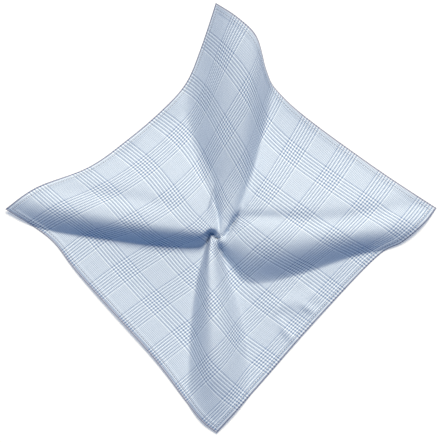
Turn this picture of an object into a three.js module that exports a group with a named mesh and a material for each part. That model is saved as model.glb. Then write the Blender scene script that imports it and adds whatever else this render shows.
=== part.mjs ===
// A pocket square: one hemmed square of woven cotton, 300 mm a side when flat. It was pinched at its middle and let
// down on a table, so four soft folds run from the pinch to its corners and the panels between them lie flat.
// Millimetres, +Z up. The table is Z = 0 and the origin lies under the middle of the outline.
import * as THREE from "three";

const THICKNESS = 1.2;
const HEM_WIDTH = 6;
const HEM_EXTRA = 0.6; // what the turned-under edge adds to the thickness
const HEM_STEP = 0.9; // plan width of the step from the cloth up to its hem

// The pinch, where the spokes of the mesh meet and all four folds begin.
const PINCH = { x: -4, y: -15.5 };

const SPOKES_PER_EDGE = 26;
const RINGS = 19;
const RING_CROWDING = 1.45; // over 1 draws the rings together towards the pinch
const CORNER_CROWDING = 0.65; // 0 spaces the spokes evenly along an edge, 1 draws them to its corners

const CREST_STEPS = 8; // straight pieces of a fold's crest between two stations
const HEM_STEPS = 24; // straight pieces of the hem between two of its points
const VALLEY = 13; // folds that differ by less than this in height share a rounded valley
const SLOPE_REACH = 0.25; // half the span over which a slope is measured
const STEEPEST_GAIN = 2.6; // most that a slope may add to the thickness measured upright

const CLOTH_COLOUR = 0xb1bdd1;

const point = (x, y) => ({ x, y });

// The hem as it lies on the table, corner to corner.
const TOP = point(-5, 205);
const RIGHT = point(206.5, 10.5);
const BOTTOM = point(-4, -205);
const LEFT = point(-206.5, 9.5);

const HEM = {
  topRight: [
    TOP,
    point(18, 188),
    point(34, 171),
    point(43.5, 141),
    point(54, 123),
    point(83.5, 96),
    point(151, 47),
    RIGHT,
  ],
  bottomRight: [
    RIGHT,
    point(196, -3),
    point(174, -22),
    point(148, -37.5),
    point(86.5, -102),
    point(33.5, -163),
    BOTTOM,
  ],
  bottomLeft: [
    BOTTOM,
    point(-18, -194),
    point(-33.5, -175),
    point(-68, -129),
    point(-136, -53),
    point(-164, -19),
    LEFT,
  ],
  topLeft: [
    LEFT,
    point(-175.5, 30.5),
    point(-127.5, 49),
    point(-92, 74),
    point(-56.5, 104.5),
    point(-33.5, 130.5),
    point(-19, 164),
    TOP,
  ],
};

// A station on a fold's crest: its place, the crest's height above the table, and how far the fold's flank reaches to
// each side of somebody who walks along the crest in the order of the rows.
const station = (x, y, height, left, right) => ({ x, y, height, left, right });

// The form of a flank: a crown below 1 is sharper at the crest, and a foot of 2 runs out more softly than one of 1.
const flank = (crown, foot) => ({ crown, foot });

// Each fold begins or ends at the pinch, where its flanks are narrow, and runs out past the hem.
const FOLDS = {
  leftCorner: {
    left: flank(0.8, 1.6),
    right: flank(0.95, 1.15),
    crest: [
      station(-240, 34, 5, 30, 24),
      station(-206, 21, 6, 34, 22),
      station(-190, 19, 9.5, 44, 23),
      station(-172, 16, 14, 58, 25),
      station(-152, 12, 18, 74, 26.5),
      station(-116, 6, 21.5, 96, 27),
      station(-68, -1, 22.5, 112, 25.5),
      station(-30, -6, 21.5, 110, 23.5),
      station(-17, -9.5, 19, 70, 17),
      station(-9, -12, 17, 28, 8),
      station(-2.5, -16, 14, 7, 5),
    ],
  },
  topCorner: {
    left: flank(1.15, 2.2),
    right: flank(1.15, 2.3),
    crest: [
      station(24, 240, 40, 50, 61),
      station(23, 200, 43, 48, 63),
      station(22, 181, 44.5, 46, 64),
      station(21.5, 160, 45, 44, 66),
      station(20.5, 138, 44, 42, 67),
      station(18.5, 114, 41, 39, 65),
      station(15, 76, 33.5, 34, 56),
      station(11, 37.5, 23, 28, 43),
      station(8, 14, 17.5, 20, 29),
      station(5, 0, 15.5, 13, 17),
      station(1, -13, 14, 7, 8),
    ],
  },
  rightCorner: {
    left: flank(0.85, 1.5),
    right: flank(0.85, 1.6),
    crest: [
      station(1, -19, 14, 7, 9),
      station(5, -20.5, 14, 18, 14),
      station(11, -22, 15, 42, 22),
      station(18, -23, 17, 68, 33),
      station(28, -23.5, 21, 96, 43),
      station(46, -22, 24.5, 120, 46),
      station(76, -16.8, 25.5, 118, 44),
      station(124, -10, 22, 92, 33),
      station(160, -7.5, 13.5, 62, 26),
      station(188, -2, 5, 42, 20),
      station(206, 5, 1.5, 28, 17),
      station(240, 14, 0.5, 18, 16),
    ],
  },
  bottomCorner: {
    left: flank(0.95, 1.5),
    right: flank(0.95, 1.4),
    crest: [
      station(-8.6, -18, 9.5, 6, 6),
      station(-9.2, -24, 12.5, 7.5, 9),
      station(-9.6, -36, 15, 10, 15),
      station(-9.5, -58, 18, 15, 18),
      station(-8, -87, 20, 20, 20),
      station(-6.5, -116, 20.5, 26, 23),
      station(-6, -145, 17.5, 31, 27),
      station(-5, -175, 11, 32, 29),
      station(-4, -206, 2.5, 30, 30),
      station(-4, -240, 0.5, 30, 30),
    ],
  },
};

// The Catmull-Rom value of one number at share t between b and c.
function catmullRom(a, b, c, d, t) {
  const bend = 2 * a - 5 * b + 4 * c - d;
  const twist = 3 * b - a - 3 * c + d;
  return 0.5 * (2 * b + (c - a) * t + bend * t * t + twist * t * t * t);
}

// A smooth line through rows of named numbers: every column is interpolated, with `steps` pieces between two rows.
function smoothRows(rows, steps) {
  const columns = Object.keys(rows[0]);
  const at = (i) => rows[Math.min(Math.max(i, 0), rows.length - 1)];
  const made = [];
  for (let i = 0; i < rows.length - 1; i++) {
    for (let step = 0; step < steps; step++) {
      const row = {};
      for (const name of columns) {
        const near = [i - 1, i, i + 1, i + 2].map((k) => at(k)[name]);
        row[name] = catmullRom(...near, step / steps);
      }
      made.push(row);
    }
  }
  made.push({ ...rows.at(-1) });
  return made;
}

// A fold is a soft wave over its crest: full height on the crest, level with the table where each flank ends.
class Fold {
  constructor({ crest, left, right }) {
    this.crest = smoothRows(crest, CREST_STEPS);
    this.flanks = { left, right };
  }

  // The nearest place on the crest: how far off it is, its height, and the width and form of the flank on this side.
  nearest(x, y) {
    let best = { distance: Infinity };
    for (let i = 0; i < this.crest.length - 1; i++) {
      const a = this.crest[i];
      const b = this.crest[i + 1];
      const run = point(b.x - a.x, b.y - a.y);
      const reach = point(x - a.x, y - a.y);
      const along = (reach.x * run.x + reach.y * run.y) / (run.x ** 2 + run.y ** 2);
      const share = THREE.MathUtils.clamp(along, 0, 1);
      const distance = Math.hypot(reach.x - share * run.x, reach.y - share * run.y);
      if (distance < best.distance) {
        const side = run.x * reach.y - run.y * reach.x > 0 ? "left" : "right";
        const width = THREE.MathUtils.lerp(a[side], b[side], share);
        const height = THREE.MathUtils.lerp(a.height, b.height, share);
        best = { distance, width, height, form: this.flanks[side] };
      }
    }
    return best;
  }

  heightAt(x, y) {
    const { distance, width, height, form } = this.nearest(x, y);
    if (distance >= width) return 0;
    return height * Math.cos((Math.PI / 2) * (distance / width) ** form.crown) ** form.foot;
  }
}

const folds = Object.values(FOLDS).map((fold) => new Fold(fold));

// The higher of two heights, with the valley between them rounded out where they are nearly alike.
function passOver(first, second) {
  const reach = Math.min(first, second, VALLEY);
  const near = reach - Math.abs(first - second);
  return Math.max(first, second) + (near > 0 ? near ** 2 / (4 * reach) : 0);
}

// The height of the cloth's underside above the table.
function underside(x, y) {
  return folds.reduce((height, fold) => passOver(height, fold.heightAt(x, y)), 0);
}

// The cloth's thickness measured straight up, which grows with the slope so that the cloth itself stays as thick.
function uprightThickness(x, y) {
  const slopeX = (underside(x + SLOPE_REACH, y) - underside(x - SLOPE_REACH, y)) / (2 * SLOPE_REACH);
  const slopeY = (underside(x, y + SLOPE_REACH) - underside(x, y - SLOPE_REACH)) / (2 * SLOPE_REACH);
  return THICKNESS * Math.min(Math.hypot(1, slopeX, slopeY), STEEPEST_GAIN);
}

// Places along one edge of the hem, its first corner included and its last left to the next edge.
function edgePlaces(points) {
  const line = smoothRows(points, HEM_STEPS);
  const curve = new THREE.CurvePath();
  for (let i = 0; i < line.length - 1; i++) {
    const from = new THREE.Vector2(line[i].x, line[i].y);
    curve.add(new THREE.LineCurve(from, new THREE.Vector2(line[i + 1].x, line[i + 1].y)));
  }
  return Array.from({ length: SPOKES_PER_EDGE }, (_, i) => {
    const even = i / SPOKES_PER_EDGE;
    const drawn = 0.5 - 0.5 * Math.cos(Math.PI * even);
    const share = THREE.MathUtils.lerp(even, drawn, CORNER_CROWDING);
    return { at: curve.getPoint(share), along: curve.getTangent(share) };
  });
}

// One spoke from the pinch to the hem: the shares of its length where the rings cross it.
function ringShares(place) {
  const spoke = place.at.clone().sub(new THREE.Vector2(PINCH.x, PINCH.y));
  const across = Math.abs(spoke.cross(place.along));
  const hemInside = 1 - HEM_WIDTH / across;
  const clothEnd = 1 - (HEM_WIDTH + HEM_STEP) / across;
  const shares = [];
  for (let ring = 1; ring <= RINGS; ring++) shares.push(clothEnd * (ring / RINGS) ** RING_CROWDING);
  return [...shares, hemInside, 1];
}

// The closed sheet: an upper and a lower face of rings round the pinch, joined by a rim along the hem.
function sheetGeometry() {
  const places = Object.values(HEM).flatMap(edgePlaces);
  const rings = RINGS + 2;
  const positions = [];
  const indices = [];

  const addPair = (x, y, extra) => {
    const low = underside(x, y);
    positions.push(x, y, low, x, y, low + uprightThickness(x, y) + extra);
  };
  addPair(PINCH.x, PINCH.y, 0);
  for (const place of places) {
    ringShares(place).forEach((share, ring) => {
      const x = THREE.MathUtils.lerp(PINCH.x, place.at.x, share);
      const y = THREE.MathUtils.lerp(PINCH.y, place.at.y, share);
      addPair(x, y, ring < RINGS ? 0 : HEM_EXTRA);
    });
  }

  const lower = (spoke, ring) => 2 * (1 + (spoke % places.length) * rings + ring);
  const upper = (spoke, ring) => lower(spoke, ring) + 1;
  const quad = (a, b, c, d) => indices.push(a, b, c, a, c, d);

  // The hem's edges follow one another clockwise seen from above.
  for (let spoke = 0; spoke < places.length; spoke++) {
    const next = spoke + 1;
    indices.push(1, upper(next, 0), upper(spoke, 0));
    indices.push(0, lower(spoke, 0), lower(next, 0));
    for (let ring = 0; ring < rings - 1; ring++) {
      quad(upper(spoke, ring), upper(next, ring), upper(next, ring + 1), upper(spoke, ring + 1));
      quad(lower(spoke, ring), lower(spoke, ring + 1), lower(next, ring + 1), lower(next, ring));
    }
    const hem = rings - 1;
    quad(lower(spoke, hem), upper(spoke, hem), upper(next, hem), lower(next, hem));
  }

  const geometry = new THREE.BufferGeometry();
  geometry.setAttribute("position", new THREE.Float32BufferAttribute(positions, 3));
  geometry.setIndex(indices);
  geometry.computeVertexNormals();
  return geometry;
}

function makeCloth() {
  const cotton = new THREE.MeshStandardMaterial({ color: CLOTH_COLOUR, roughness: 0.9, metalness: 0 });
  const cloth = new THREE.Mesh(sheetGeometry(), cotton);
  cloth.name = "cloth";
  return cloth;
}

const pocketSquare = new THREE.Group();
pocketSquare.name = "pocket_square";
pocketSquare.add(makeCloth());

export default pocketSquare;
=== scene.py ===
"""A hemmed cotton pocket square, pinched at its middle and laid on a pale table.

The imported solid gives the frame. Over it goes a thin sheet on nearly the same folds, with its smaller
creases, its turned-under hem, a row of stitches and a woven check that follows the threads. Lengths are
millimetres until they are handed to Blender, and +X and +Y are the photograph's right and top.
"""

import logging
import math
from dataclasses import dataclass, field
from enum import Enum

import bpy
import numpy as np
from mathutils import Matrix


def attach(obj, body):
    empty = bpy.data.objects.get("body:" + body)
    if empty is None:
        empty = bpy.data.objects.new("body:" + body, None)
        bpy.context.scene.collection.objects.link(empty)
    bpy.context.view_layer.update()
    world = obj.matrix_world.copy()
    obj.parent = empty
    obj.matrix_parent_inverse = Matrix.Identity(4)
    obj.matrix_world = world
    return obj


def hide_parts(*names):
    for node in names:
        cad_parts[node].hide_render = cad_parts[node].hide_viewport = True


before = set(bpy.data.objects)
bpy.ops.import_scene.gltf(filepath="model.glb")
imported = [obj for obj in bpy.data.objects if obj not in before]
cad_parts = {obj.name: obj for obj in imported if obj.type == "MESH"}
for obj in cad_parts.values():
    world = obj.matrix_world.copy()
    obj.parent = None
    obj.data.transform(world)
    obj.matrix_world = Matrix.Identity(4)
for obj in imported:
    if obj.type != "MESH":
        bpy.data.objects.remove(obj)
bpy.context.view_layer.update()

LOG = logging.getLogger("pocket_square")
METRES = 0.001

IMAGE_WIDTH = 440
IMAGE_HEIGHT = 443

CLOTH_SIDE = 300.0
CREST_STEPS = 8
HEM_STEPS = 24

Place = tuple[float, float]
Colour = tuple[float, float, float, float]

WHITE: Colour = (1.0, 1.0, 1.0, 1.0)
TINY = 1e-6
END_MARGIN = 1e-9
CREASE_FADE = np.array([[0.0], [1.0], [0.0]])


def smooth_rows(rows: np.ndarray, steps: int) -> np.ndarray:
    """A Catmull-Rom line through rows of numbers, every column interpolated alike.

    Args:
        rows: one row for each given point.
        steps: pieces between two given points.

    Returns:
        The rows of the smooth line, the last given point included.
    """
    padded = np.vstack([rows[:1], rows, rows[-1:]])
    before, here, after, beyond = padded[:-3], padded[1:-2], padded[2:-1], padded[3:]
    share = (np.arange(steps) / steps)[None, :, None]
    bend = (2 * before - 5 * here + 4 * after - beyond)[:, None]
    twist = (3 * here - before - 3 * after + beyond)[:, None]
    lean = (after - before)[:, None]
    made = 0.5 * (2 * here[:, None] + lean * share + bend * share**2 + twist * share**3)
    return np.vstack([made.reshape(-1, rows.shape[1]), rows[-1:]])


def nearest_on_line(places: np.ndarray, line: np.ndarray) -> tuple[np.ndarray, np.ndarray, np.ndarray]:
    """The nearest point of a plan line to each place.

    Args:
        places: plan points, one row each.
        line: rows whose first two columns are x and y, with any further columns.

    Returns:
        The distance, whether the place lies to the left of the line, and the line's further columns
        at that point.
    """
    distance = np.full(len(places), np.inf)
    on_left = np.zeros(len(places), bool)
    columns = np.zeros((len(places), line.shape[1] - 2))
    for start, end in zip(line[:-1], line[1:]):
        run = end[:2] - start[:2]
        reach = places - start[:2]
        share = np.clip(reach @ run / (run @ run), 0, 1)
        gap = np.hypot(*(reach - share[:, None] * run).T)
        nearer = gap < distance
        distance[nearer] = gap[nearer]
        on_left[nearer] = (run[0] * reach[nearer, 1] - run[1] * reach[nearer, 0]) > 0
        columns[nearer] = start[2:] + share[nearer, None] * (end[2:] - start[2:])
    return distance, on_left, columns


@dataclass(frozen=True)
class Station:
    """A place on a fold's crest, the crest's height there, and the flanks' reach to each side."""

    x: float
    y: float
    height: float
    left: float
    right: float

    def row(self) -> list[float]:
        """The station's numbers in the order of its fields."""
        return [self.x, self.y, self.height, self.left, self.right]


@dataclass(frozen=True)
class Flank:
    """The form of one side of a fold.

    A lower crown is sharper at the crest, and a higher foot runs out more softly.
    """

    crown: float
    foot: float

    def wave(self, share: np.ndarray) -> np.ndarray:
        """The flank's height as a share of the crest's.

        Args:
            share: distance from the crest as a share of the flank's width.

        Returns:
            1 on the crest and 0 at the foot and beyond it.
        """
        across = np.clip(share, 0, 1) ** self.crown
        return np.clip(np.cos(np.pi / 2 * across), 0, 1) ** self.foot


@dataclass(frozen=True)
class Fold:
    """A soft wave over its crest, with its own flank to each side."""

    left: Flank
    right: Flank
    crest: tuple[Station, ...]

    def heights(self, places: np.ndarray) -> np.ndarray:
        """How far the fold lifts the cloth at plan places.

        Args:
            places: plan points, one row each.

        Returns:
            One height for each place.
        """
        line = smooth_rows(np.array([station.row() for station in self.crest]), CREST_STEPS)
        distance, on_left, columns = nearest_on_line(places, line)
        height, left, right = columns.T
        to_left = self.left.wave(distance / left)
        to_right = self.right.wave(distance / right)
        return height * np.where(on_left, to_left, to_right)


@dataclass(frozen=True)
class Crease:
    """A ridge along a bent line, or a trough where its rise is below zero.

    It fades out towards both ends.
    """

    start: Place
    middle: Place
    end: Place
    rise: float
    width: float

    def heights(self, places: np.ndarray) -> np.ndarray:
        """What the crease adds to the cloth's height at plan places.

        Args:
            places: plan points, one row each.

        Returns:
            One height for each place.
        """
        bend = np.array([self.start, self.middle, self.end])
        line = smooth_rows(np.hstack([bend, CREASE_FADE]), CREST_STEPS)
        distance, _, columns = nearest_on_line(places, line)
        return self.rise * columns[:, 0] * np.exp(-((distance / self.width) ** 2))


@dataclass(frozen=True)
class Drape:
    """The way the cloth lies: its main folds, and the creases on and between them."""

    folds: tuple[Fold, ...]
    creases: tuple[Crease, ...]
    valley: float = 13.0

    def _pass_over(self, first: np.ndarray, second: np.ndarray) -> np.ndarray:
        """The higher of two folds, with the valley between them rounded out.

        Args:
            first: heights of one fold.
            second: heights of the other.

        Returns:
            The heights of both together.
        """
        reach = np.minimum(np.minimum(first, second), self.valley)
        near = np.maximum(reach - np.abs(first - second), 0)
        return np.maximum(first, second) + near**2 / np.maximum(4 * reach, TINY)

    def underside(self, places: np.ndarray) -> np.ndarray:
        """The height of the cloth's underside above the table.

        Args:
            places: plan points in an array of any shape whose last axis is x and y.

        Returns:
            Heights in an array of the same shape without that axis.
        """
        flat = places.reshape(-1, 2)
        total = np.zeros(len(flat))
        for fold in self.folds:
            total = self._pass_over(total, fold.heights(flat))
        for crease in self.creases:
            total = total + crease.heights(flat)
        return np.maximum(total, 0).reshape(places.shape[:-1])


LEFT_FOLD = Fold(
    left=Flank(crown=0.8, foot=1.6),
    right=Flank(crown=1.02, foot=1.08),
    crest=(
        Station(-240, 36, 5, 30, 21),
        Station(-206, 23, 7, 34, 21),
        Station(-190, 20, 12, 44, 22.5),
        Station(-172, 16.5, 16.8, 58, 24.5),
        Station(-152, 11.5, 20.2, 74, 24.5),
        Station(-116, 5, 22.8, 96, 23.5),
        Station(-68, -3.2, 24.5, 112, 21.5),
        Station(-30, -7.5, 23.5, 110, 20),
        Station(-17, -10.5, 22, 70, 16),
        Station(-9, -12.5, 20, 28, 7),
        Station(-2.5, -16, 15, 7, 3.5),
    ),
)

TOP_FOLD = Fold(
    left=Flank(crown=1.45, foot=2.5),
    right=Flank(crown=1.3, foot=2.5),
    crest=(
        Station(26, 240, 42.5, 36, 58),
        Station(25.5, 200, 44, 36, 58),
        Station(24.5, 181, 45, 35.5, 58),
        Station(23, 160, 45.5, 34.5, 58),
        Station(21, 138, 44, 33.5, 58.5),
        Station(18, 114, 40.5, 32, 57.5),
        Station(14, 76, 32.5, 29.5, 53),
        Station(10.8, 37.5, 21.5, 26, 44),
        Station(8, 14, 17.2, 20, 27),
        Station(5, 0, 15.5, 13, 15),
        Station(1, -13, 14, 7, 8),
    ),
)

RIGHT_FOLD = Fold(
    left=Flank(crown=0.85, foot=1.9),
    right=Flank(crown=1.1, foot=1.35),
    crest=(
        Station(1, -18.6, 14, 7, 13),
        Station(5, -18.6, 14.5, 18, 20),
        Station(11, -18.7, 16.5, 42, 28.5),
        Station(18, -18.8, 20, 68, 37),
        Station(28, -19, 23.5, 98, 43.2),
        Station(46, -18.6, 26.5, 122, 42),
        Station(76, -16.4, 26.5, 120, 36.2),
        Station(124, -10.6, 23, 94, 25.8),
        Station(160, -6.6, 15.5, 62, 22.6),
        Station(188, -1.5, 6, 42, 18.5),
        Station(206, 5, 1.2, 28, 17),
        Station(240, 14, 0.5, 18, 16),
    ),
)

BOTTOM_FOLD = Fold(
    left=Flank(crown=1.1, foot=1.6),
    right=Flank(crown=0.95, foot=1.4),
    crest=(
        Station(-8.6, -17, 11.5, 6, 3.5),
        Station(-9.4, -24, 15, 8.5, 4),
        Station(-10, -36, 19, 13, 7.5),
        Station(-9.4, -58, 23.5, 19, 14),
        Station(-8, -87, 27.5, 27, 20),
        Station(-7, -116, 27.5, 32, 23.5),
        Station(-6.2, -145, 23, 34, 25.5),
        Station(-5, -175, 11.5, 35, 28),
        Station(-4, -206, 1.2, 30, 30),
        Station(-4, -240, 0.5, 30, 30),
    ),
)

CREASES = (
    # The trough on the upper side of the right fold, and its sharper start at the pinch
    Crease(start=(20, 1), middle=(110, 0), end=(250, 26), rise=-4.0, width=8.5),
    Crease(start=(6, -8), middle=(24, 1), end=(84, 1), rise=-3.2, width=5.5),
    # The trough on the upper side of the left fold
    Crease(start=(-25, 6), middle=(-92, 20), end=(-180, 30), rise=-2.4, width=8.0),
    # A ridge in the lower right panel
    Crease(start=(38, -85), middle=(70, -80), end=(108, -66), rise=1.9, width=8.0),
    # The pit of the pinch, and the slit between the top and the right fold
    Crease(start=(-16, -20), middle=(-9.5, -13.5), end=(-1, -18.5), rise=-16.0, width=2.9),
    Crease(start=(20, 11), middle=(11, -5), end=(1.5, -21), rise=-6.5, width=2.2),
    # Puckers along the lower right hem
    Crease(start=(54, -92), middle=(62.5, -107.5), end=(72, -120), rise=2.4, width=4.5),
    Crease(start=(75, -79), middle=(83.5, -85.5), end=(93, -91), rise=2.2, width=4.0),
    # The lower hems, which stand a little off the table
    Crease(start=(-168, -18), middle=(-95, -96), end=(-20, -188), rise=3.6, width=26.0),
    Crease(start=(150, -62), middle=(95, -112), end=(25, -186), rise=2.4, width=24.0),
    # Puckers along the upper left hem
    Crease(start=(-100, 64), middle=(-85, 75), end=(-72, 88), rise=1.3, width=5.0),
    Crease(start=(-52, 94), middle=(-42, 108), end=(-36, 122), rise=1.3, width=5.0),
)

DRAPE = Drape(folds=(LEFT_FOLD, TOP_FOLD, RIGHT_FOLD, BOTTOM_FOLD), creases=CREASES)


class Edge(Enum):
    """The plan points of the four hemmed edges, each named by the two corners that it runs between."""

    TOP_RIGHT = (
        (-5, 205),
        (18, 188),
        (34, 171),
        (43.5, 141),
        (54, 123),
        (83.5, 96),
        (151, 47),
        (206.5, 10.5),
    )
    BOTTOM_RIGHT = (
        (206.5, 10.5),
        (196, -3),
        (174, -22),
        (148, -37.5),
        (86.5, -102),
        (33.5, -163),
        (-4, -205),
    )
    BOTTOM_LEFT = (
        (-206.5, 9.5),
        (-164, -19),
        (-136, -53),
        (-68, -129),
        (-33.5, -175),
        (-18, -194),
        (-4, -205),
    )
    TOP_LEFT = (
        (-5, 205),
        (-19, 164),
        (-33.5, 130.5),
        (-56.5, 104.5),
        (-92, 74),
        (-127.5, 49),
        (-175.5, 30.5),
        (-206.5, 9.5),
    )

    def line(self) -> np.ndarray:
        """The edge as a smooth plan line, away from the top corner or towards the bottom one.

        Returns:
            Plan points, one row each.
        """
        return smooth_rows(np.array(self.value, float), HEM_STEPS)


@dataclass
class HeightChart:
    """The drape's heights on an even plan grid, for the many look-ups while the threads settle."""

    drape: Drape
    reach: float = 214.0
    pitch: float = 2.0
    last_cell: float = 1.001
    heights: np.ndarray = field(init=False)

    def __post_init__(self) -> None:
        """Works the heights out once."""
        steps = np.arange(-self.reach, self.reach + self.pitch, self.pitch)
        self.heights = self.drape.underside(np.stack(np.meshgrid(steps, steps, indexing="ij"), -1))

    def at(self, places: np.ndarray) -> np.ndarray:
        """The height at plan places, between the chart's points.

        Args:
            places: plan points in an array of any shape whose last axis is x and y.

        Returns:
            Heights in an array of the same shape without that axis.
        """
        spot = np.clip((places + self.reach) / self.pitch, 0, len(self.heights) - self.last_cell)
        cell = spot.astype(int)
        (i, j), (s, t) = np.moveaxis(cell, -1, 0), np.moveaxis(spot - cell, -1, 0)
        near = self.heights[i, j] * (1 - t) + self.heights[i, j + 1] * t
        far = self.heights[i + 1, j] * (1 - t) + self.heights[i + 1, j + 1] * t
        return near * (1 - s) + far * s


@dataclass
class ThreadNet:
    """Where the threads of the square lie in plan.

    The first axis counts the threads away from the top left edge and the second those away from the
    top right edge. The hems hold the net's rim, the pinch draws its middle in, and the threads between
    are eased to their own length.
    """

    chart: HeightChart
    cells: int = 60
    sweeps: int = 600
    stretch: float = 0.9
    push: float = 0.35
    shear: float = 0.03
    ease: float = 0.15
    pinch: Place = (-2.9, -16.3)
    pinched_thread: Place = (141.5, 149.5)
    draw_reach: float = 70.0
    gather: float = 0.45
    gather_reach: float = 22.0
    middle_gain: float = 16.0

    def _hem(self, edge: Edge) -> np.ndarray:
        """Plan points at equal lengths along one hem.

        Args:
            edge: the hem.

        Returns:
            One row for each thread of the net.
        """
        line = edge.line()
        solid = np.column_stack([line, self.chart.at(line)])
        length = np.concatenate([[0], np.cumsum(np.linalg.norm(np.diff(solid, axis=0), axis=1))])
        even = np.linspace(0, length[-1], self.cells + 1)
        return np.column_stack([np.interp(even, length, column) for column in line.T])

    def _start(self) -> np.ndarray:
        """The net stretched between its four hems, with its middle drawn to the pinch.

        Returns:
            Plan points, an array of threads by threads by 2.
        """
        along_right, along_left = self._hem(Edge.TOP_RIGHT), self._hem(Edge.TOP_LEFT)
        low_right, low_left = self._hem(Edge.BOTTOM_RIGHT), self._hem(Edge.BOTTOM_LEFT)
        share = np.linspace(0, 1, self.cells + 1)
        s, t = share[:, None, None], share[None, :, None]
        corners = (1 - s) * (1 - t) * along_right[0] + s * (1 - t) * along_right[-1]
        corners = corners + (1 - s) * t * along_left[-1] + s * t * low_right[-1]
        net = (1 - t) * along_right[:, None] + t * low_left[:, None]
        net = net + (1 - s) * along_left[None] + s * low_right[None] - corners
        away = self._away_from_pinch(s[..., 0], t[..., 0])
        inside = self.middle_gain * (s * (1 - s) * t * (1 - t))[..., 0]
        pull = np.exp(-(away**2) / (2 * self.draw_reach**2)) * inside
        middle = tuple(round(self.cells * thread / CLOTH_SIDE) for thread in self.pinched_thread)
        return net + pull[..., None] * (np.array(self.pinch) - net[middle])

    def _away_from_pinch(self, s: np.ndarray, t: np.ndarray) -> np.ndarray:
        """Flat distance of places on the net from the thread that is pinched.

        Args:
            s: places along the first axis as shares of the net's side.
            t: places along the second axis in the same way.

        Returns:
            One distance for each pair of places.
        """
        first, second = self.pinched_thread
        return np.hypot(CLOTH_SIDE * s - first, CLOTH_SIDE * t - second)

    def _rest(self, s: np.ndarray, t: np.ndarray) -> np.ndarray:
        """The length of thread that shows in one cell, less near the pinch, where cloth is tucked away.

        Args:
            s: places along the first axis as shares of the net's side.
            t: places along the second axis in the same way.

        Returns:
            One length for each pair of places.
        """
        away = self._away_from_pinch(s, t)
        shown = 1 - self.gather * np.exp(-(away**2) / (2 * self.gather_reach**2))
        return CLOTH_SIDE / self.cells * shown

    def _pull(
        self, first: np.ndarray, second: np.ndarray, rest: np.ndarray | float, pull: float, push: float
    ) -> None:
        """Moves the two ends of many pieces of thread towards their own length, in place.

        Args:
            first: views of the net at one end of each piece.
            second: views at the other end.
            rest: the pieces' own lengths.
            pull: share of a stretch that is taken up.
            push: share of a slack that is taken up.
        """
        run = second - first
        rise = self.chart.at(second) - self.chart.at(first)
        length = np.sqrt((run**2).sum(-1) + rise**2)
        share = np.where(length > rest, pull, push) * 0.5 * (1 - rest / np.maximum(length, TINY))
        first += run * share[..., None]
        second -= run * share[..., None]

    def settle(self) -> np.ndarray:
        """Eases the threads over the folds.

        Returns:
            The net's plan points, an array of threads by threads by 2.
        """
        net = self._start()
        rim = np.ones(net.shape[:2], bool)
        rim[1:-1, 1:-1] = False
        held = net[rim]
        share = np.linspace(0, 1, self.cells + 1)
        halves = (share[1:] + share[:-1]) / 2
        rest_first = self._rest(halves[:, None], share[None, :])
        rest_second = self._rest(share[:, None], halves[None, :])
        diagonal = CLOTH_SIDE / self.cells * math.sqrt(2)
        for _ in range(self.sweeps):
            for odd in (0, 1):
                near, far = net[odd:-1:2], net[odd + 1 :: 2]
                self._pull(near, far, rest_first[odd::2], self.stretch, self.push)
                near, far = net[:, odd:-1:2], net[:, odd + 1 :: 2]
                self._pull(near, far, rest_second[:, odd::2], self.stretch, self.push)
            for odd in (0, 1):
                self._pull(net[odd:-1:2, :-1], net[odd + 1 :: 2, 1:], diagonal, self.shear, self.shear)
                self._pull(net[odd:-1:2, 1:], net[odd + 1 :: 2, :-1], diagonal, self.shear, self.shear)
            around = (net[2:, 1:-1] + net[:-2, 1:-1] + net[1:-1, 2:] + net[1:-1, :-2]) / 4
            net[1:-1, 1:-1] += self.ease * (around - net[1:-1, 1:-1])
            net[rim] = held
        return net


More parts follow.
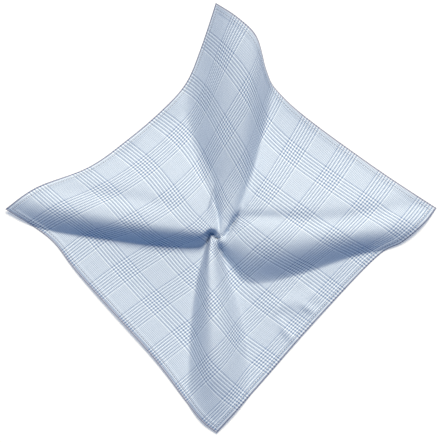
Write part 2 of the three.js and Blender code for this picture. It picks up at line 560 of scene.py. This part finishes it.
@dataclass
class ClothSurface:
    """The upper and lower face of the cloth at any flat place on it."""

    drape: Drape
    net: np.ndarray
    thickness: float = 0.7
    steepest_gain: float = 2.6
    slope_reach: float = 0.25
    hem_width: float = 6.0
    hem_extra: float = 0.45
    hem_step: float = 1.8
    edge_round: float = 1.0
    edge_share: float = 0.45
    stitch_inset: float = 4.8
    stitch_sink: float = 0.22
    stitch_sink_width: float = 0.7

    def _weights(self, threads: np.ndarray) -> np.ndarray:
        """Catmull-Rom weights of the net's threads at flat distances from an edge.

        Args:
            threads: distances from 0 to the cloth's side.

        Returns:
            One row for each distance, one column for each thread of the net.
        """
        cells = len(self.net) - 1
        spot = np.clip(np.asarray(threads, float) / CLOTH_SIDE * cells, 0, cells - END_MARGIN)
        cell = spot.astype(int)
        t = spot - cell
        cubic = (
            -0.5 * t + t**2 - 0.5 * t**3,
            1 - 2.5 * t**2 + 1.5 * t**3,
            0.5 * t + 2 * t**2 - 1.5 * t**3,
            -0.5 * t**2 + 0.5 * t**3,
        )
        weights = np.zeros((len(spot), cells + 1))
        for step, share in enumerate(cubic, start=-1):
            np.add.at(weights, (np.arange(len(spot)), np.clip(cell + step, 0, cells)), share)
        return weights

    def _edge_distance(self, first: np.ndarray, second: np.ndarray) -> np.ndarray:
        """Flat distance to the nearest edge for every pair of threads.

        Args:
            first: flat distances from the top left edge.
            second: flat distances from the top right edge.

        Returns:
            An array of first by second.
        """
        from_first = np.minimum(first, CLOTH_SIDE - first)
        from_second = np.minimum(second, CLOTH_SIDE - second)
        return np.minimum(from_first[:, None], from_second[None, :])

    def _flat_thickness(self, edge_distance: np.ndarray) -> np.ndarray:
        """The thickness of the cloth: a round edge, a double hem sunk at its stitches, then one layer.

        Args:
            edge_distance: flat distances to the nearest edge.

        Returns:
            One thickness for each distance.
        """
        step = np.clip((self.hem_width + self.hem_step - edge_distance) / self.hem_step, 0, 1)
        hem = self.hem_extra * step**2 * (3 - 2 * step)
        sink = ((edge_distance - self.stitch_inset) / self.stitch_sink_width) ** 2
        turn = 1 - np.clip(edge_distance / self.edge_round, 0, 1)
        rounding = self.edge_share + (1 - self.edge_share) * np.sqrt(1 - turn**2)
        return (self.thickness + hem - self.stitch_sink * np.exp(-sink)) * rounding

    def faces(self, first: np.ndarray, second: np.ndarray) -> tuple[np.ndarray, np.ndarray]:
        """Points of the lower and upper face where two sets of threads cross.

        Args:
            first: flat distances from the top left edge.
            second: flat distances from the top right edge.

        Returns:
            The lower and the upper points, arrays of first by second by 3, in millimetres.
        """
        along, across = self._weights(first), self._weights(second)
        plan = np.einsum("ai,ijk,bj->abk", along, self.net, across, optimize=True)
        low = self.drape.underside(plan)
        slopes = []
        for axis in range(2):
            aside = np.zeros(2)
            aside[axis] = self.slope_reach
            rise = self.drape.underside(plan + aside) - self.drape.underside(plan - aside)
            slopes.append(rise / (2 * self.slope_reach))
        gain = np.minimum(np.sqrt(1 + slopes[0] ** 2 + slopes[1] ** 2), self.steepest_gain)
        high = low + gain * self._flat_thickness(self._edge_distance(first, second))
        return np.dstack([plan, low]), np.dstack([plan, high])


class NodePen:
    """Writes nodes into one tree and joins them."""

    def __init__(self, tree: bpy.types.NodeTree) -> None:
        """Starts on an emptied tree.

        Args:
            tree: the tree to write into.
        """
        self.tree = tree
        self.tree.nodes.clear()

    def node(self, kind: str, **settings: object) -> bpy.types.Node:
        """Adds a node.

        Args:
            kind: the node's type name.
            settings: properties of the node.

        Returns:
            The node.
        """
        made = self.tree.nodes.new(kind)
        for name, value in settings.items():
            setattr(made, name, value)
        return made

    def join(self, target: bpy.types.NodeSocket, source: object) -> None:
        """Links a socket to another, or sets its own value.

        Args:
            target: the input socket.
            source: the output socket to link, or the value.
        """
        if isinstance(source, bpy.types.NodeSocket):
            self.tree.links.new(source, target)
        else:
            target.default_value = source

    def math(self, operation: str, *inputs: object) -> bpy.types.NodeSocket:
        """A number worked out from sockets or values.

        Args:
            operation: the Math node's operation.
            inputs: its inputs in order.

        Returns:
            The socket that gives the number.
        """
        made = self.node("ShaderNodeMath", operation=operation)
        for socket, source in zip(made.inputs, inputs):
            self.join(socket, source)
        return made.outputs[0]

    def choose(self, share: object, first: object, second: object) -> bpy.types.NodeSocket:
        """A colour between two.

        Args:
            share: 0 for the first colour and 1 for the second.
            first: a colour or a socket.
            second: a colour or a socket.

        Returns:
            The socket that gives the colour.
        """
        made = self.node("ShaderNodeMix", data_type="RGBA", clamp_factor=True)
        sockets = [socket for socket in made.inputs if socket.enabled]
        for socket, source in zip(sockets, (share, first, second)):
            self.join(socket, source)
        return next(socket for socket in made.outputs if socket.enabled)


@dataclass(frozen=True)
class YarnRun:
    """One system of threads, warp or weft.

    It has a repeat, the middle of one fine band, and a number of threads in each band.
    """

    repeat: float
    fine_middle: float
    bold_threads: int
    fine_threads: int


@dataclass(frozen=True)
class CheckCotton:
    """A blue and pale check in a 2 and 2 twill.

    In both systems a bold band of four dark and four pale threads takes turns with a fine band of two
    and two, whose shades are closer. Fine over fine looks plain, bold over fine looks lined, and bold
    over bold is dotted.
    """

    name: str = "check_cotton"
    warp: YarnRun = YarnRun(repeat=42.5, fine_middle=14.0, bold_threads=64, fine_threads=64)
    weft: YarnRun = YarnRun(repeat=45.0, fine_middle=14.5, bold_threads=56, fine_threads=64)
    bold_group: int = 4
    fine_group: int = 2
    twill: int = 4
    pale: Colour = (0.85, 0.925, 1.0, 1.0)
    blue: Colour = (0.185, 0.275, 0.45, 1.0)
    fine_pale: Colour = (0.755, 0.83, 0.935, 1.0)
    fine_blue: Colour = (0.365, 0.465, 0.605, 1.0)
    # Painted shade of the rolled edge, together with the darker tone of its bunched threads
    edge_shade: Colour = (0.50, 0.45, 0.51, 1.0)
    edge_width: float = 2.4
    edge_softness: float = 2.0
    yarn_unevenness: float = 0.05
    roughness_low: float = 0.78
    roughness_high: float = 0.92
    relief: float = 0.06
    relief_strength: float = 0.35
    sheen: float = 0.05
    sheen_roughness: float = 0.45
    specular: float = 0.2

    def _yarn(
        self, pen: NodePen, flat: bpy.types.NodeSocket, run: YarnRun
    ) -> tuple[bpy.types.NodeSocket, ...]:
        """The thread at a flat distance from an edge.

        Args:
            pen: writes the nodes.
            flat: the distance as a share of the cloth's side.
            run: the system of threads.

        Returns:
            Sockets for the thread's number, its colour, and the place across it from 0 to 1.
        """
        threads = run.bold_threads + run.fine_threads
        pitch = run.repeat / threads
        offset = round(run.bold_threads + run.fine_threads / 2 - run.fine_middle / pitch)
        count = pen.math("MULTIPLY", flat, CLOTH_SIDE / pitch)
        number = pen.math("FLOOR", count)
        place = pen.math("FLOORED_MODULO", pen.math("ADD", number, offset), threads)
        bold = pen.math("LESS_THAN", place, run.bold_threads)
        bold_turn = pen.math("FLOORED_MODULO", place, 2 * self.bold_group)
        bold_dark = pen.math("LESS_THAN", bold_turn, self.bold_group)
        fine_turn = pen.math("FLOORED_MODULO", place, 2 * self.fine_group)
        fine_dark = pen.math("LESS_THAN", fine_turn, self.fine_group)
        bold_colour = pen.choose(bold_dark, self.pale, self.blue)
        fine_colour = pen.choose(fine_dark, self.fine_pale, self.fine_blue)
        return number, pen.choose(bold, fine_colour, bold_colour), pen.math("FRACT", count)

    def _edge(
        self, pen: NodePen, first: bpy.types.NodeSocket, second: bpy.types.NodeSocket
    ) -> bpy.types.NodeSocket:
        """The darker line along the rolled edge, painted shade of the roll together with its bunched
        threads, white everywhere else.

        Args:
            pen: writes the nodes.
            first: flat distance from the top left edge as a share of the cloth's side.
            second: flat distance from the top right edge in the same way.

        Returns:
            The socket that gives the colour to multiply by.
        """
        from_first = pen.math("MINIMUM", first, pen.math("SUBTRACT", 1.0, first))
        from_second = pen.math("MINIMUM", second, pen.math("SUBTRACT", 1.0, second))
        nearest = pen.math("MINIMUM", from_first, from_second)
        distance = pen.math("MULTIPLY", nearest, CLOTH_SIDE / self.edge_width)
        share = pen.math("POWER", pen.math("MINIMUM", distance, 1.0), self.edge_softness)
        return pen.choose(share, self.edge_shade, WHITE)

    def material(self) -> bpy.types.Material:
        """The finish as a material that reads the cloth's own UV map.

        Returns:
            The material.
        """
        made = bpy.data.materials.new(self.name)
        made.use_nodes = True
        pen = NodePen(made.node_tree)
        split = pen.node("ShaderNodeSeparateXYZ")
        pen.join(split.inputs[0], pen.node("ShaderNodeTexCoord").outputs["UV"])
        warp_number, warp_colour, warp_across = self._yarn(pen, split.outputs[0], self.warp)
        weft_number, weft_colour, weft_across = self._yarn(pen, split.outputs[1], self.weft)
        crossing = pen.math("FLOORED_MODULO", pen.math("ADD", warp_number, weft_number), self.twill)
        warp_over = pen.math("LESS_THAN", crossing, self.twill / 2)
        woven = pen.choose(warp_over, weft_colour, warp_colour)
        # The weave darkened along the rolled edge: painted shade of the roll, with its bunched threads
        edge_shaded_weave = pen.node("ShaderNodeVectorMath", operation="MULTIPLY")
        pen.join(edge_shaded_weave.inputs[0], woven)
        pen.join(edge_shaded_weave.inputs[1], self._edge(pen, split.outputs[0], split.outputs[1]))

        # Each thread has its own slight shade
        weft_over = pen.math("SUBTRACT", 1.0, warp_over)
        yarns = pen.node("ShaderNodeCombineXYZ")
        pen.join(yarns.inputs[0], pen.math("MULTIPLY", warp_number, warp_over))
        pen.join(yarns.inputs[1], pen.math("MULTIPLY", weft_number, weft_over))
        uneven = pen.node("ShaderNodeTexWhiteNoise", noise_dimensions="3D")
        pen.join(uneven.inputs["Vector"], yarns.outputs[0])
        swing, lowest = 2 * self.yarn_unevenness, 1 - self.yarn_unevenness
        level = pen.math("MULTIPLY_ADD", uneven.outputs["Value"], swing, lowest)
        shade = pen.node("ShaderNodeVectorMath", operation="SCALE")
        pen.join(shade.inputs[0], edge_shaded_weave.outputs[0])
        pen.join(shade.inputs["Scale"], level)

        # Each thread is round, and smoother on its crown
        across = pen.node("ShaderNodeMix", data_type="FLOAT")
        pen.join(across.inputs[0], warp_over)
        pen.join(across.inputs[2], weft_across)
        pen.join(across.inputs[3], warp_across)
        centred = pen.math("MULTIPLY_ADD", across.outputs[0], 2.0, -1.0)
        crown = pen.math("SUBTRACT", 1.0, pen.math("MULTIPLY", centred, centred))
        bump = pen.node("ShaderNodeBump")
        pen.join(bump.inputs["Strength"], self.relief_strength)
        pen.join(bump.inputs["Distance"], self.relief * METRES)
        pen.join(bump.inputs["Height"], crown)
        drop = self.roughness_low - self.roughness_high
        roughness = pen.math("MULTIPLY_ADD", crown, drop, self.roughness_high)

        shader = pen.node("ShaderNodeBsdfPrincipled")
        pen.join(shader.inputs["Base Color"], shade.outputs[0])
        pen.join(shader.inputs["Roughness"], roughness)
        pen.join(shader.inputs["Normal"], bump.outputs[0])
        pen.join(shader.inputs["Sheen Weight"], self.sheen)
        pen.join(shader.inputs["Sheen Roughness"], self.sheen_roughness)
        pen.join(shader.inputs["Specular IOR Level"], self.specular)
        pen.join(pen.node("ShaderNodeOutputMaterial").inputs["Surface"], shader.outputs[0])
        return made


@dataclass(frozen=True)
class SewingThread:
    """The hem's sewing thread, with the slant of its twist as relief and as painted shade in the
    twist's grooves.
    """

    name: str = "sewing_thread"
    colour: Colour = (0.18, 0.17, 0.24, 1.0)
    shaded: Colour = (0.12, 0.12, 0.18, 1.0)
    twists_per_metre: float = 2200.0
    roughness: float = 0.6
    relief: float = 0.04
    sheen: float = 0.1

    def material(self) -> bpy.types.Material:
        """The finish as a material on Object coordinates.

        Returns:
            The material.
        """
        made = bpy.data.materials.new(self.name)
        made.use_nodes = True
        pen = NodePen(made.node_tree)
        wave = pen.node("ShaderNodeTexWave", wave_type="BANDS", bands_direction="DIAGONAL")
        pen.join(wave.inputs["Vector"], pen.node("ShaderNodeTexCoord").outputs["Object"])
        pen.join(wave.inputs["Scale"], self.twists_per_metre)
        bump = pen.node("ShaderNodeBump")
        pen.join(bump.inputs["Distance"], self.relief * METRES)
        pen.join(bump.inputs["Height"], wave.outputs["Fac"])
        # Painted shade: the low part of each twist band takes the darker colour
        tint = pen.choose(wave.outputs["Fac"], self.shaded, self.colour)
        shader = pen.node("ShaderNodeBsdfPrincipled")
        pen.join(shader.inputs["Base Color"], tint)
        pen.join(shader.inputs["Roughness"], self.roughness)
        pen.join(shader.inputs["Sheen Weight"], self.sheen)
        pen.join(shader.inputs["Normal"], bump.outputs[0])
        pen.join(pen.node("ShaderNodeOutputMaterial").inputs["Surface"], shader.outputs[0])
        return made


@dataclass(frozen=True)
class PaleTable:
    """The plain pale surface that the cloth lies on, lit softly from within as a light table is."""

    name: str = "pale_table"
    colour: Colour = (0.68, 0.68, 0.68, 1.0)
    shaded: Colour = (0.66, 0.66, 0.66, 1.0)
    grain: float = 4.0
    roughness: float = 0.9
    glow: float = 0.36

    def material(self) -> bpy.types.Material:
        """The finish as a material on Object coordinates.

        Returns:
            The material.
        """
        made = bpy.data.materials.new(self.name)
        made.use_nodes = True
        pen = NodePen(made.node_tree)
        noise = pen.node("ShaderNodeTexNoise")
        pen.join(noise.inputs["Vector"], pen.node("ShaderNodeTexCoord").outputs["Object"])
        pen.join(noise.inputs["Scale"], self.grain)
        # The darker colour is the table's own grain, spread at random by noise, not shade
        tint = pen.choose(noise.outputs["Fac"], self.shaded, self.colour)
        shader = pen.node("ShaderNodeBsdfPrincipled")
        pen.join(shader.inputs["Base Color"], tint)
        pen.join(shader.inputs["Roughness"], self.roughness)
        pen.join(shader.inputs["Emission Color"], WHITE)
        pen.join(shader.inputs["Emission Strength"], self.glow)
        pen.join(pen.node("ShaderNodeOutputMaterial").inputs["Surface"], shader.outputs[0])
        return made


def add_object(name: str, data: bpy.types.ID) -> bpy.types.Object:
    """Puts data into the scene as an object at the origin.

    Args:
        name: the object's name.
        data: its mesh, light or camera.

    Returns:
        The object.
    """
    made = bpy.data.objects.new(name, data)
    bpy.context.scene.collection.objects.link(made)
    return made


@dataclass
class ClothSheet:
    """The square itself: two faces of threads and a rim, closed."""

    surface: ClothSurface
    finish: CheckCotton
    name: str = "pocket_square_cloth"
    hem_lines: tuple[float, ...] = (0.0, 0.25, 0.6, 1.0, 2.0, 3.2, 4.1, 4.8, 5.5, 6.2, 6.9, 7.8)
    even_lines: int = 192
    sharp_angle: float = math.radians(55)

    def threads(self) -> np.ndarray:
        """Flat distances of the mesh's lines from an edge, close together on the hem.

        Returns:
            The distances, from 0 to the cloth's side.
        """
        near = np.array(self.hem_lines)
        even = np.linspace(near[-1], CLOTH_SIDE - near[-1], self.even_lines + 1)
        return np.concatenate([near[:-1], even, (CLOTH_SIDE - near[:-1])[::-1]])

    def _quads(self, count: int) -> np.ndarray:
        """Corner numbers of every face.

        Args:
            count: threads along one side of the mesh. The lower face's points come first.

        Returns:
            One row of four numbers for each face, counted so that the face points outwards.
        """
        number = np.arange(count * count).reshape(count, count)
        here, first, both, second = number[:-1, :-1], number[1:, :-1], number[1:, 1:], number[:-1, 1:]
        lower = np.stack([here, first, both, second], -1).reshape(-1, 4)
        upper = np.stack([here, second, both, first], -1).reshape(-1, 4) + count * count
        rim = np.concatenate([number[:-1, 0], number[-1, :-1], number[:0:-1, -1], number[0, :0:-1]])
        after = np.roll(rim, -1)
        wall = np.stack([after, rim, rim + count * count, after + count * count], -1)
        return np.vstack([lower, upper, wall])

    def build(self) -> bpy.types.Object:
        """Makes the sheet with its UV map of flat places and its finish.

        Returns:
            The sheet's object.
        """
        threads = self.threads()
        lower, upper = self.surface.faces(threads, threads)
        points = np.vstack([lower.reshape(-1, 3), upper.reshape(-1, 3)]) * METRES
        quads = self._quads(len(threads))
        mesh = bpy.data.meshes.new(self.name)
        mesh.from_pydata(points.tolist(), [], quads.tolist())
        flat = np.stack(np.meshgrid(threads, threads, indexing="ij"), -1).reshape(-1, 2) / CLOTH_SIDE
        layer = mesh.uv_layers.new(name="weave")
        layer.data.foreach_set("uv", np.vstack([flat, flat])[quads.ravel()].astype(np.float32).ravel())
        mesh.polygons.foreach_set("use_smooth", np.ones(len(quads), bool))
        mesh.set_sharp_from_angle(angle=self.sharp_angle)
        mesh.materials.append(self.finish.material())
        mesh.update()
        return add_object(self.name, mesh)


@dataclass
class HemStitches:
    """The row of machine stitches that holds the hem, laid along it by a node tree."""

    surface: ClothSurface
    finish: SewingThread
    name: str = "hem_stitches"
    pitch: float = 2.6
    length: float = 1.9
    diameter: float = 0.5
    lift: float = 0.02
    path_step: float = 1.0
    turn: float = math.radians(7)
    seed: int = 4
    bead_radius: float = 0.5
    around: int = 6
    along: int = 5

    def _path(self) -> bpy.types.Mesh:
        """The stitch line of each edge as a row of joined points on the cloth's upper face.

        Returns:
            A mesh of points and edges.
        """
        inset = self.surface.stitch_inset
        run = np.arange(inset, CLOTH_SIDE - inset + self.path_step / 2, self.path_step)
        sides = np.array([inset, CLOTH_SIDE - inset])
        _, across = self.surface.faces(run, sides)
        _, down = self.surface.faces(sides, run)
        rows = [across[:, 0], across[:, 1], down[0], down[1]]
        points = np.vstack(rows) + np.array([0, 0, self.lift])
        edges = []
        for number in range(len(rows)):
            first = number * len(run)
            edges += [(first + k, first + k + 1) for k in range(len(run) - 1)]
        mesh = bpy.data.meshes.new(self.name + "_path")
        mesh.from_pydata((points * METRES).tolist(), edges, [])
        return mesh

    def _tree(self, material: bpy.types.Material) -> bpy.types.NodeTree:
        """The node tree that sets one stitch at each step along a path.

        Args:
            material: the thread's finish.

        Returns:
            The tree, with its sizes as named inputs.
        """
        tree = bpy.data.node_groups.new("stitch_row", "GeometryNodeTree")
        tree.interface.new_socket("Path", in_out="INPUT", socket_type="NodeSocketGeometry")
        for label in ("Pitch", "Length", "Diameter", "Turn"):
            tree.interface.new_socket(label, in_out="INPUT", socket_type="NodeSocketFloat")
        tree.interface.new_socket("Seed", in_out="INPUT", socket_type="NodeSocketInt")
        tree.interface.new_socket("Stitches", in_out="OUTPUT", socket_type="NodeSocketGeometry")
        pen = NodePen(tree)
        given = pen.node("NodeGroupInput").outputs

        curve = pen.node("GeometryNodeMeshToCurve")
        pen.join(curve.inputs["Mesh"], given["Path"])
        steps = pen.node("GeometryNodeResampleCurve", mode="LENGTH")
        pen.join(steps.inputs["Curve"], curve.outputs[0])
        pen.join(steps.inputs["Length"], given["Pitch"])

        # The bead is 1 across, so its scale is the size of the stitch
        bead = pen.node("GeometryNodeMeshUVSphere")
        pen.join(bead.inputs["Segments"], self.around)
        pen.join(bead.inputs["Rings"], self.along)
        pen.join(bead.inputs["Radius"], self.bead_radius)

        jitter = pen.node("FunctionNodeRandomValue", data_type="FLOAT")
        low, high = [socket for socket in jitter.inputs if socket.enabled][:2]
        pen.join(low, pen.math("MULTIPLY", given["Turn"], -1.0))
        pen.join(high, given["Turn"])
        pen.join(jitter.inputs["Seed"], given["Seed"])
        slant = pen.node("ShaderNodeCombineXYZ")
        pen.join(slant.inputs[2], next(socket for socket in jitter.outputs if socket.enabled))
        aim = pen.node("FunctionNodeAlignRotationToVector", axis="Z")
        pen.join(aim.inputs["Vector"], pen.node("GeometryNodeInputTangent").outputs[0])
        turned = pen.node("FunctionNodeRotateRotation", rotation_space="GLOBAL")
        pen.join(turned.inputs["Rotation"], aim.outputs[0])
        pen.join(turned.inputs["Rotate By"], slant.outputs[0])
        size = pen.node("ShaderNodeCombineXYZ")
        pen.join(size.inputs[0], given["Diameter"])
        pen.join(size.inputs[1], given["Diameter"])
        pen.join(size.inputs[2], given["Length"])

        laid = pen.node("GeometryNodeInstanceOnPoints")
        pen.join(laid.inputs["Points"], steps.outputs[0])
        pen.join(laid.inputs["Instance"], bead.outputs[0])
        pen.join(laid.inputs["Rotation"], turned.outputs[0])
        pen.join(laid.inputs["Scale"], size.outputs[0])
        real = pen.node("GeometryNodeRealizeInstances")
        pen.join(real.inputs[0], laid.outputs[0])
        smooth = pen.node("GeometryNodeSetShadeSmooth")
        pen.join(smooth.inputs["Geometry"], real.outputs[0])
        dressed = pen.node("GeometryNodeSetMaterial")
        pen.join(dressed.inputs["Geometry"], smooth.outputs[0])
        dressed.inputs["Material"].default_value = material
        pen.join(pen.node("NodeGroupOutput").inputs["Stitches"], dressed.outputs[0])
        return tree

    def build(self) -> bpy.types.Object:
        """Runs the tree along the hem and keeps its result as a plain mesh.

        Returns:
            The stitches' object.
        """
        material = self.finish.material()
        made = add_object(self.name, self._path())
        tree = self._tree(material)
        modifier = made.modifiers.new("stitch_row", "NODES")
        modifier.node_group = tree
        sizes = {
            "Pitch": self.pitch * METRES,
            "Length": self.length * METRES,
            "Diameter": self.diameter * METRES,
            "Turn": self.turn,
            "Seed": self.seed,
        }
        for item in tree.interface.items_tree:
            if item.name in sizes:
                modifier[item.identifier] = sizes[item.name]
        graph = bpy.context.evaluated_depsgraph_get()
        mesh = bpy.data.meshes.new_from_object(made.evaluated_get(graph), depsgraph=graph)
        made.modifiers.remove(modifier)
        path = made.data
        made.data = mesh
        mesh.name = self.name
        bpy.data.meshes.remove(path)
        return made


@dataclass
class Studio:
    """The pale table, the soft light from the photograph's top side, and the camera straight above."""

    finish: PaleTable
    table_side: float = 40000.0
    table_gap: float = 0.1
    key_azimuth: float = math.radians(81)
    key_elevation: float = math.radians(54)
    key_strength: float = 3.97
    key_softness: float = math.radians(22)
    key_colour: tuple[float, float, float] = (1.0, 0.893, 0.695)
    fill_colour: Colour = (0.12, 0.42, 1.0, 1.0)
    fill_strength: float = 0.29
    pixel: float = 0.957
    centre_pixel: Place = (221.0, 219.0)
    lens: float = 200.0
    sensor: float = 36.0
    mean_height: float = 4.0

    def table(self) -> bpy.types.Object:
        """The surface that the cloth lies on, which isn't part of it.

        Returns:
            The table's object.
        """
        half = self.table_side / 2 * METRES
        level = -self.table_gap * METRES
        corners = [(-half, -half), (half, -half), (half, half), (-half, half)]
        mesh = bpy.data.meshes.new("table")
        mesh.from_pydata([(x, y, level) for x, y in corners], [], [(0, 1, 2, 3)])
        mesh.materials.append(self.finish.material())
        made = add_object("table", mesh)
        return made

    def light(self) -> bpy.types.Object:
        """One broad soft key light, and a weak blue fill from all round.

        Returns:
            The key light's object.
        """
        key = bpy.data.lights.new("key_light", "SUN")
        key.energy = self.key_strength
        key.angle = self.key_softness
        key.color = self.key_colour
        made = add_object("key_light", key)
        made.rotation_euler = (math.pi / 2 - self.key_elevation, 0, self.key_azimuth + math.pi / 2)
        world = bpy.data.worlds.new("even_fill")
        world.use_nodes = True
        fill = next(node for node in world.node_tree.nodes if node.type == "BACKGROUND")
        fill.inputs["Color"].default_value = self.fill_colour
        fill.inputs["Strength"].default_value = self.fill_strength
        bpy.context.scene.world = world
        bpy.context.scene.view_settings.view_transform = "Standard"
        return made

    def camera(self) -> bpy.types.Object:
        """A long lens straight above the photograph's middle, with the whole picture in its frame.

        Returns:
            The camera's object.
        """
        lens = bpy.data.cameras.new("camera")
        lens.lens = self.lens
        lens.sensor_width = self.sensor
        frame_side = max(IMAGE_WIDTH, IMAGE_HEIGHT) * self.pixel
        made = add_object("camera", lens)
        right = (IMAGE_WIDTH / 2 - self.centre_pixel[0]) * self.pixel
        up = (self.centre_pixel[1] - IMAGE_HEIGHT / 2) * self.pixel
        above = frame_side * self.lens / self.sensor + self.mean_height
        made.location = (right * METRES, up * METRES, above * METRES)
        bpy.context.scene.camera = made
        return made


def main() -> None:
    """Builds the cloth, its stitches and the studio, and says which body each piece rides on."""
    logging.basicConfig(level=logging.INFO, format="%(name)s: %(message)s")
    studio = Studio(PaleTable())
    for staged in (studio.camera(), studio.light(), studio.table()):
        LOG.info("studio: %s", staged.name)

    net = ThreadNet(HeightChart(DRAPE)).settle()
    surface = ClothSurface(DRAPE, net)
    cloth = ClothSheet(surface, CheckCotton()).build()
    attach(cloth, "root")
    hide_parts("cloth")
    LOG.info("%s: %d faces", cloth.name, len(cloth.data.polygons))

    stitches = HemStitches(surface, SewingThread()).build()
    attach(stitches, "root")
    LOG.info("%s: %d faces", stitches.name, len(stitches.data.polygons))


if __name__ == "__main__":
    main()
